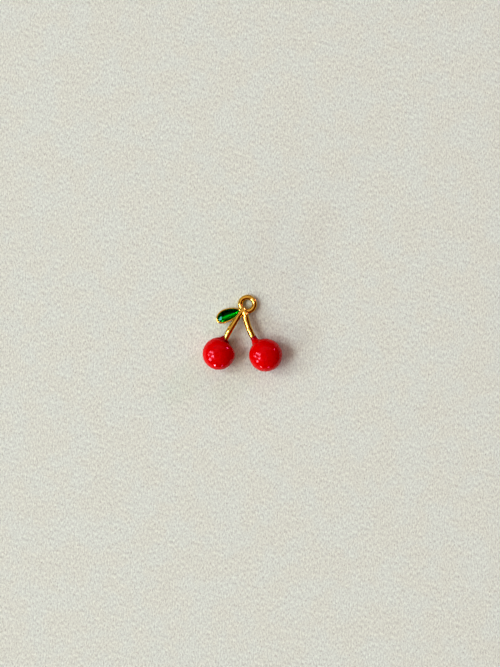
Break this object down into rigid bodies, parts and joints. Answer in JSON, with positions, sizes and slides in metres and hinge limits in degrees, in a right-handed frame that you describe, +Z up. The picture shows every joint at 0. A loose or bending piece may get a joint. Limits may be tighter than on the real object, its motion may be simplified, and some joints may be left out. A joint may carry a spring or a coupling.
{
  "type": "cherry charm",
  "caption": "Small jewellery charm: twin round cherries in glossy red enamel on gold-coloured stems, with a stone-set green leaf and a closed bail ring, lying flat.",
  "frame": {"origin": "centre of the charm's box, on the surface that it lies on", "axes": "+X across both cherries to the right, +Y from the cherries towards the bail ring, +Z up from the surface"},
  "size_m": [0.016, 0.0154, 0.0053],
  "materials": {
    "gold_plate": "polished gold-coloured plating on brass",
    "core_metal": "plain brass, hidden under the enamel",
    "red_enamel": "glossy opaque red cold enamel, slightly uneven",
    "green_stone": "clear green faceted glass stone"
  },
  "bodies": {
    "root": {"bail_ring": "gold_plate", "left_stem": "gold_plate", "right_stem": "gold_plate", "leaf_cup": "gold_plate", "leaf_stone": "green_stone", "left_cherry_core": "core_metal", "right_cherry_core": "core_metal", "left_cherry_enamel": "red_enamel", "right_cherry_enamel": "red_enamel"}
  },
  "joints": []
}
